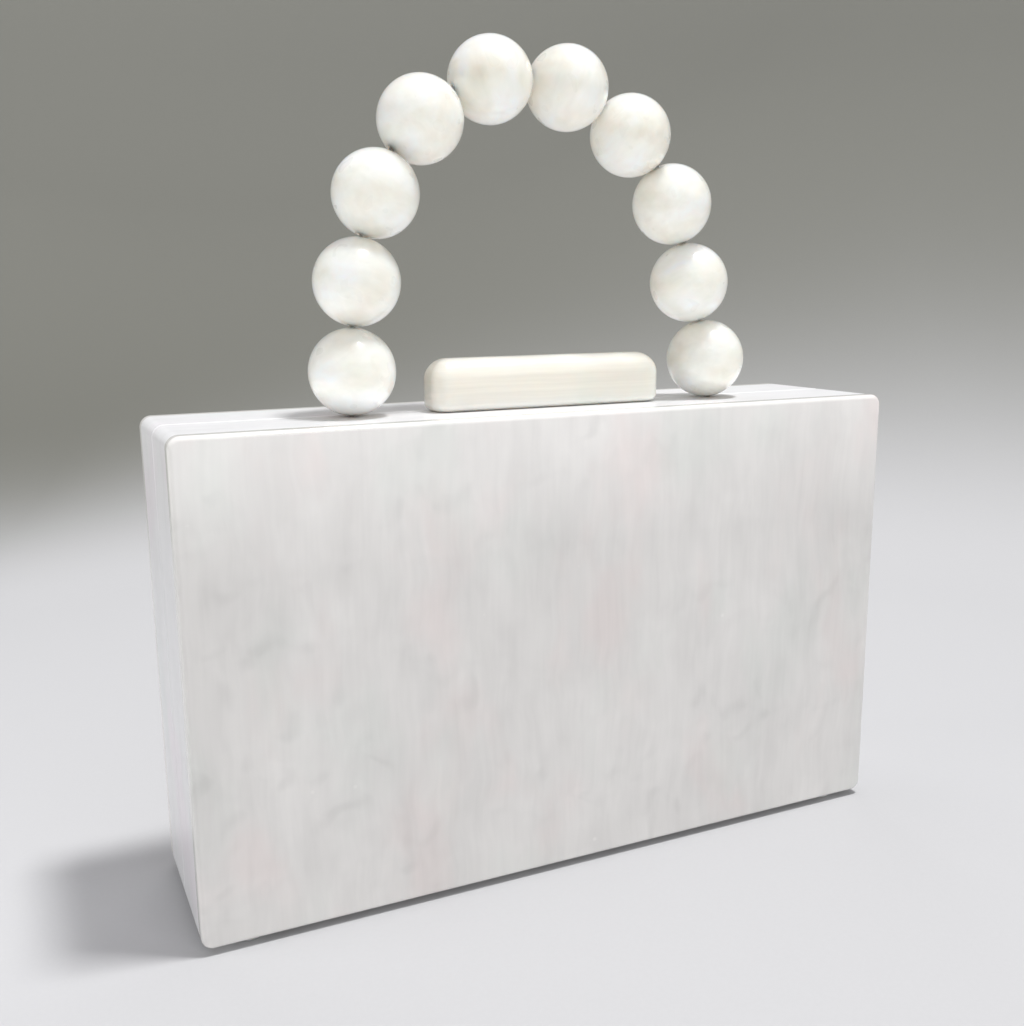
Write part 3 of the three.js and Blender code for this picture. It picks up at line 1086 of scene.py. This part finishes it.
@dataclass
class ClaspBar:
    """The block on top that is pressed to open the case, rounded over its top.

    Sizes are in millimetres.
    """

    finish: Finish
    length: float = 66.5
    depth: float = 12.0
    height: float = 13.5
    overhang: float = 1.5  # how far it reaches over the rear half
    shift: float = 1.0  # its middle from the case's middle
    foot: float = 124.1  # height of its underside
    corner_radius: float = 4.0  # upright edges
    top_rounding: float = 5.5
    crown_radius: float = 0.45  # corners of the flat that is left on top
    foot_rounding: float = 2.0

    def _ring(self, inset: float, level: float) -> list[Vector]:
        """Gives one level loop of the block.

        Args:
            inset: How far the loop is pulled in, in millimetres.
            level: Its height above the block's foot.

        Returns:
            The loop's points in metres.
        """
        share = inset / self.top_rounding
        radius = self.corner_radius + share * (self.crown_radius - self.corner_radius)
        loop = rounded_loop(self.length - 2 * inset, self.depth - 2 * inset, radius, 12)
        middle = self.overhang - self.depth / 2
        return [Vector((self.shift + x, middle + y, self.foot + level)) * MM for x, y in loop]

    def build(self) -> None:
        rings = [self._ring(inset, depth) for inset, depth in reversed(quarter(self.foot_rounding, 8))]
        rings += [self._ring(inset, self.height - depth) for inset, depth in quarter(self.top_rounding, 18)]
        declare(settle(loft("pearl_clasp_bar", rings)), self.finish, Half.FRONT, ["clasp_bar"])


# The handle


@dataclass
class BeadHandle:
    """The arch of drilled beads on a stiff wire.

    Sizes are in millimetres. The link angles say in degrees how steeply each bead climbs to the next; one
    more link closes the arch. The seed draws how each bead is turned and what part of the pearl it shows.
    """

    bead_finish: Finish
    wire_finish: Finish
    bead_radius: float = 10.86
    bore_radius: float = 0.95
    pitch: float = 21.9  # from one bead's centre to the next
    wire_radius: float = 0.6
    foot: Vector = field(default_factory=lambda: Vector((-52.0, -4.4, 135.0)))  # centre of the first bead
    lean_back: float = 2.6  # degrees
    tail_end: float = 114.4  # height of the wire's ends inside the case
    link_angles: tuple[float, ...] = (84.0, 74.5, 55.5, 29.0, -1.5, -30.0, -53.5, -75.5)
    bead_sides: int = 64  # round the bore
    bead_steps: int = 40  # from one mouth of the bore to the other
    bend_radius: float = 0.8  # turns of the wire
    seed: int = 11

    def __post_init__(self) -> None:
        """Works out the beads' centres, how each leans and the wire's turns at their mouths."""
        slopes = [math.radians(angle) for angle in self.link_angles]
        slopes.append(-math.asin(sum(math.sin(slope) for slope in slopes)))
        lean = math.radians(self.lean_back)
        climb = Vector((0, math.sin(lean), math.cos(lean)))
        self.centres = [self.foot.copy()]
        for slope in slopes:
            step = (Vector((math.cos(slope), 0, 0)) + climb * math.sin(slope)) * self.pitch
            self.centres.append(self.centres[-1] + step)
        up = Vector((0, 0, 1))
        links = [(after - before).normalized() for before, after in zip(self.centres, self.centres[1:])]
        leans = [(before + after).normalized() for before, after in zip([up, *links], [*links, -up])]
        entries = [centre - lean * self.bead_radius for centre, lean in zip(self.centres, leans)]
        exits = [centre + lean * self.bead_radius for centre, lean in zip(self.centres, leans)]
        self.leans = leans
        self.turns = [mouth for pair in zip(entries, exits) for mouth in pair]

    @property
    def mouths(self) -> list[Vector]:
        """Where the wire enters the case, in metres."""
        return [self.turns[0] * MM, self.turns[-1] * MM]

    def build(self) -> None:
        self.build_beads()
        self.build_wire()

    def bead_tree(self) -> Tree:
        """Makes the tree that turns one drilled bead and sets it on every point.

        Returns:
            The Geometry Nodes tree.
        """
        tree = new_tree("drilled_beads", [
            ("Bead Radius", "NodeSocketFloat"), ("Bore Radius", "NodeSocketFloat"),
            ("Sides", "NodeSocketInt"), ("Steps", "NodeSocketInt"), ("Seed", "NodeSocketInt"),
            ("Finish", "NodeSocketMaterial"),
        ])
        given = add(tree, "NodeGroupInput").outputs
        radii = {0: given["Bore Radius"], 1: given["Bead Radius"]}
        ratio = add(tree, "ShaderNodeMath", radii, operation="DIVIDE")
        half = add(tree, "ShaderNodeMath", {0: ratio}, operation="ARCCOSINE")
        start = add(tree, "ShaderNodeMath", {0: half, 1: -1.0}, operation="MULTIPLY")
        sweep = add(tree, "ShaderNodeMath", {0: half, 1: 2.0}, operation="MULTIPLY")
        arc = add(tree, "GeometryNodeCurveArc", {
            "Resolution": given["Steps"], "Radius": given["Bead Radius"], "Start Angle": start,
            "Sweep Angle": sweep,
        })
        shift = add(tree, "ShaderNodeMath", {0: given["Bore Radius"], 1: -1.0}, operation="MULTIPLY")
        offset = add(tree, "ShaderNodeCombineXYZ", {0: shift})
        moved = add(tree, "GeometryNodeTransform", {"Geometry": arc, "Translation": offset})
        section = add(tree, "GeometryNodeSetSplineCyclic", {"Geometry": moved, "Cyclic": True})
        bore = add(tree, "GeometryNodeCurvePrimitiveCircle", {
            "Resolution": given["Sides"], "Radius": given["Bore Radius"],
        })
        bead = add(tree, "GeometryNodeCurveToMesh", {"Curve": bore, "Profile Curve": section})
        spot = add(tree, "GeometryNodeInputPosition")
        marked = add(tree, "GeometryNodeStoreNamedAttribute", {
            "Geometry": bead, "Name": "bead_place", "Value": spot,
        }, data_type="FLOAT_VECTOR", domain="POINT")
        along = {"Name": "bore_direction"}
        direction = add(tree, "GeometryNodeInputNamedAttribute", along, data_type="FLOAT_VECTOR")
        aligned = add(tree, "FunctionNodeAlignRotationToVector", {"Vector": direction}, axis="Z")
        turns = {"Min": (0.0, 0.0, 0.0), "Max": (0.0, 0.0, 6.28), "Seed": given["Seed"]}
        spin = add(tree, "FunctionNodeRandomValue", turns, data_type="FLOAT_VECTOR")
        both = {"Rotation": aligned, "Rotate By": spin}
        spun = add(tree, "FunctionNodeRotateRotation", both, rotation_space="LOCAL")
        beads = add(tree, "GeometryNodeInstanceOnPoints", {
            "Points": given["Geometry"], "Instance": marked, "Rotation": spun,
        })
        shifts = {"Min": (-0.5, -0.5, -0.5), "Max": (0.5, 0.5, 0.5), "Seed": given["Seed"]}
        scatter = add(tree, "FunctionNodeRandomValue", shifts, data_type="FLOAT_VECTOR")
        varied = add(tree, "GeometryNodeStoreNamedAttribute", {
            "Geometry": beads, "Name": "bead_shift", "Value": scatter,
        }, data_type="FLOAT_VECTOR", domain="INSTANCE")
        return close_tree(tree, varied, given["Finish"])

    def build_beads(self) -> None:
        """Sets a drilled bead at each centre, leaning as its wire runs."""
        points = place_points("bead_centres", [centre * MM for centre in self.centres])
        bores = points.attributes.new("bore_direction", "FLOAT_VECTOR", "POINT")
        for index, lean in enumerate(self.leans):
            bores.data[index].vector = lean
        piece = grow("pearl_beads", points, self.bead_tree(), {
            "Bead Radius": self.bead_radius * MM, "Bore Radius": self.bore_radius * MM,
            "Sides": self.bead_sides, "Steps": self.bead_steps, "Seed": self.seed, "Finish": self.bead_finish,
        })
        names = [f"bead_{number:02d}" for number in range(1, len(self.centres) + 1)]
        declare(piece, self.bead_finish, Half.FRONT, names)

    def wire_tree(self) -> Tree:
        """Makes the tree that lays a round wire along a line and rounds its turns.

        Returns:
            The Geometry Nodes tree.
        """
        tree = new_tree("bead_wire", [
            ("Wire Radius", "NodeSocketFloat"), ("Bend Radius", "NodeSocketFloat"),
            ("Finish", "NodeSocketMaterial"),
        ])
        given = add(tree, "NodeGroupInput").outputs
        line = add(tree, "GeometryNodeMeshToCurve", {"Mesh": given["Geometry"]})
        bent = add(tree, "GeometryNodeFilletCurve", {"Curve": line, "Radius": given["Bend Radius"]})
        outline = {"Resolution": 20, "Radius": given["Wire Radius"]}
        section = add(tree, "GeometryNodeCurvePrimitiveCircle", outline)
        drawn = {"Curve": bent, "Profile Curve": section, "Fill Caps": True}
        wire = add(tree, "GeometryNodeCurveToMesh", drawn)
        return close_tree(tree, wire, given["Finish"])

    def build_wire(self) -> None:
        """Lays the wire up through the case, through every bead and down again."""
        ends = [Vector((mouth.x, mouth.y, self.tail_end)) for mouth in (self.turns[0], self.turns[-1])]
        points = [point * MM for point in (ends[0], *self.turns, ends[1])]
        piece = grow("steel_bead_wire", place_points("wire_line", points, joined=True), self.wire_tree(), {
            "Wire Radius": self.wire_radius * MM, "Bend Radius": self.bend_radius * MM,
            "Finish": self.wire_finish,
        })
        declare(piece, self.wire_finish, Half.FRONT, ["bead_wire"])


# Metalwork


@dataclass
class Metalwork:
    """The hinges with their screws, the catch and the crimps on the wire's ends.

    Sizes are in millimetres.
    """

    nickel: Finish
    steel: Finish
    hinge_bevel: float = 0.08
    tongue_bevel: float = 0.2
    crimp_bevel: float = 0.15
    hinge_x: tuple[float, float] = (-60.0, 60.0)  # middles of the two hinges
    screw_x: tuple[float, float] = (-12.0, 12.0)  # from a leaf's middle
    screw_y: float = 6.8  # from the split
    leaf_face: float = 0.7  # height of the leaves' underside
    screw_radius: float = 1.6
    screw_rise: float = 0.22
    slot_width: float = 0.45
    crown_share: float = 0.72  # radius of a head's face as a share of the head's

    def build(self) -> None:
        for half in Half:
            nodes = [f"hinge_{end}_{half.prefix}_leaf" for end in ("left", "right")]
            self.build_copy(f"{half.prefix}_hinge_leaves", nodes, self.hinge_bevel, half)
            self.build_screws(half)
        self.build_copy("hinge_pins", ["hinge_left_pin", "hinge_right_pin"], self.hinge_bevel)
        self.build_copy("nickel_catch_tongue", ["catch_tongue"], self.tongue_bevel)
        crimps = ["wire_crimp_left", "wire_crimp_right"]
        self.build_copy("steel_crimps", crimps, self.crimp_bevel, slot=Slot.STEEL)

    def build_copy(
        self, name: str, nodes: Sequence[str], bevel: float,
        half: Half = Half.FRONT, slot: Slot = Slot.NICKEL,
    ) -> None:
        """Builds and declares one piece from copies of CAD nodes, in the metal of its slot."""
        finish = self.steel if slot is Slot.STEEL else self.nickel
        declare(merged_copy(name, nodes, bevel), finish, half, nodes)

    def screw_tree(self) -> Tree:
        """Makes the tree that sets a low slotted screw head on every point.

        Returns:
            The Geometry Nodes tree.
        """
        tree = new_tree("slotted_screws", [
            ("Head Radius", "NodeSocketFloat"), ("Crown Radius", "NodeSocketFloat"),
            ("Rise", "NodeSocketFloat"), ("Slot Width", "NodeSocketFloat"),
            ("Seed", "NodeSocketInt"), ("Finish", "NodeSocketMaterial"),
        ])
        given = add(tree, "NodeGroupInput").outputs
        head = add(tree, "GeometryNodeMeshCone", {
            "Vertices": 32, "Radius Top": given["Head Radius"], "Radius Bottom": given["Crown Radius"],
            "Depth": given["Rise"],
        })
        length = add(tree, "ShaderNodeMath", {0: given["Head Radius"], 1: 3.0}, operation="MULTIPLY")
        size = add(tree, "ShaderNodeCombineXYZ", {0: length, 1: given["Slot Width"], 2: given["Rise"]})
        bar = add(tree, "GeometryNodeMeshCube", {"Size": size})
        slot = add(tree, "GeometryNodeMeshBoolean", {"Mesh 1": head, "Mesh 2": bar}, operation="DIFFERENCE")
        turns = {"Min": (0.0, 0.0, 0.0), "Max": (0.0, 0.0, 3.14), "Seed": given["Seed"]}
        turn = add(tree, "FunctionNodeRandomValue", turns, data_type="FLOAT_VECTOR")
        screws = add(tree, "GeometryNodeInstanceOnPoints", {
            "Points": given["Geometry"], "Instance": slot, "Rotation": turn,
        })
        return close_tree(tree, screws, given["Finish"])

    def build_screws(self, half: Half) -> None:
        """Sets the screws that hold one half's leaves.

        Args:
            half: The half whose leaves they hold.
        """
        points = [
            Vector((hinge + screw, half.side * self.screw_y, self.leaf_face - self.screw_rise)) * MM
            for hinge in self.hinge_x for screw in self.screw_x
        ]
        piece = grow(f"{half.prefix}_hinge_screws", place_points("screw_places", points), self.screw_tree(), {
            "Head Radius": self.screw_radius * MM, "Crown Radius": self.screw_radius * self.crown_share * MM,
            "Rise": self.screw_rise * MM, "Slot Width": self.slot_width * MM,
            "Seed": 5 + half.side, "Finish": self.nickel,
        })
        declare(piece, self.nickel, half)


# The studio


@dataclass
class SoftLight:
    """One soft light of the studio.

    Attributes:
        name: Name of the light.
        place: Where it stands, in millimetres.
        target: What it points at, in millimetres.
        size: Its width and height in millimetres.
        power: Its power in watts.
        colour: Its colour.
        mirrored: True if polished surfaces mirror it, False if it only fills the shade.
    """

    name: str
    place: tuple[float, float, float]
    target: tuple[float, float, float]
    size: tuple[float, float]
    power: float
    colour: str = "FFFFFF"
    mirrored: bool = False

    def build(self) -> None:
        """Sets the light up."""
        lamp = bpy.data.lights.new(self.name, "AREA")
        lamp.shape = "RECTANGLE"
        lamp.size, lamp.size_y = (length * MM for length in self.size)
        lamp.energy = self.power
        lamp.color = linear(self.colour)[:3]
        stand = bpy.data.objects.new(self.name, lamp)
        bpy.context.scene.collection.objects.link(stand)
        stand.location = Vector(self.place) * MM
        aim = Vector(self.target) - Vector(self.place)
        stand.rotation_euler = aim.to_track_quat("-Z", "Y").to_euler()
        stand.visible_camera = False
        stand.visible_glossy = self.mirrored


@dataclass
class Studio:
    """The plain studio: a round sweep of paper, soft lights and the camera.

    Sizes and places are in millimetres.
    """

    paper: Finish
    inner: float = 60.0  # disc in the middle of the floor
    flat: float = 330.0  # radius to which the floor is flat
    bend: float = 350.0  # radius of the rise to the wall
    bend_steps: int = 32
    top: float = 560.0  # height of the wall
    sides: int = 128
    world: str = "F8F7FF"
    world_strength: float = 0.46
    lights: tuple[SoftLight, ...] = (
        SoftLight("overhead", (344, -181, 1800), (0, 0, 60), (230, 230), 25.6, "FFFFFE", mirrored=True),
        SoftLight("front_fill", (0, -560, 150), (0, 0, 62), (520, 240), 1.68),
        SoftLight("left_fill", (-520, 40, 80), (0, 0, 62), (320, 130), 1.25),
        SoftLight("back_fill", (40, 430, 480), (0, 0, 100), (500, 260), 0.69),
    )
    focal_length: float = 38.484
    sensor: float = 36.0
    camera_place: tuple[float, float, float] = (-131.285, -268.305, 153.415)
    forward: tuple[float, float, float] = (0.41279, 0.88958, -0.19555)
    right: tuple[float, float, float] = (0.90627, -0.42259, -0.00933)  # to the picture's right

    def build(self) -> None:
        """Builds the sweep, the lights, the surroundings and the camera."""
        self.build_sweep()
        for light in self.lights:
            light.build()
        self.build_world()
        self.build_camera()

    def build_sweep(self) -> None:
        """Builds the round sweep: a flat disc that rises to a wall all round."""
        profile = [(self.inner, 0.0), (self.flat, 0.0)]
        for step in range(1, self.bend_steps + 1):
            angle = step / self.bend_steps * math.pi / 2
            profile.append((self.flat + self.bend * math.sin(angle), self.bend * (1 - math.cos(angle))))
        profile.append((self.flat + self.bend, self.top))
        shape = bmesh.new()
        rows = [[shape.verts.new(point) for point in circle(*ring, self.sides)] for ring in profile]
        shape.faces.new(rows[0])
        for low, high in zip(rows, rows[1:]):
            for side in range(self.sides):
                following = (side + 1) % self.sides
                shape.faces.new((low[side], high[side], high[following], low[following]))
        sweep = to_object("paper_sweep", shape)
        sweep.data.shade_smooth()
        sweep.data.materials.append(self.paper)

    def build_world(self) -> None:
        """Sets an even, soft surrounding light and a neutral display."""
        world = bpy.data.worlds.new("soft_room")
        world.use_nodes = True
        world.node_tree.nodes.clear()
        light = add(world.node_tree, "ShaderNodeBackground", {0: linear(self.world), 1: self.world_strength})
        add(world.node_tree, "ShaderNodeOutputWorld", {0: light})
        bpy.context.scene.world = world
        bpy.context.scene.view_settings.view_transform = "Standard"

    def build_camera(self) -> None:
        """Sets the camera up with the photograph's lens and viewing angle."""
        data = bpy.data.cameras.new("camera")
        data.lens = self.focal_length
        data.sensor_width = self.sensor
        data.clip_start = 0.01
        data.clip_end = 20.0
        camera = bpy.data.objects.new("camera", data)
        bpy.context.scene.collection.objects.link(camera)
        forward = Vector(self.forward).normalized()
        right = Vector(self.right).normalized()
        up = right.cross(forward).normalized()
        turn = Matrix((right, up, -forward)).transposed().to_4x4()
        camera.matrix_world = Matrix.Translation(Vector(self.camera_place) * MM) @ turn
        bpy.context.scene.camera = camera


def main() -> None:
    """Builds the clutch and its studio, and reports each piece."""
    logging.basicConfig(level=logging.INFO, format="%(name)s: %(message)s")
    sheet, walls, block, bead = (finish.build() for finish in (SHEET, WALLS, BLOCK, BEAD))
    nickel, steel = NICKEL.build(), STEEL.build()
    pads = ClearBumper().build()
    handle = BeadHandle(bead, steel)
    CaseHalf(Half.FRONT, sheet, walls, pads, handle.mouths).build()
    CaseHalf(Half.REAR, sheet, walls, pads).build()
    ClaspBar(block).build()
    handle.build()
    Metalwork(nickel, steel).build()
    Studio(SweepPaper().build()).build()


if __name__ == "__main__":
    main()
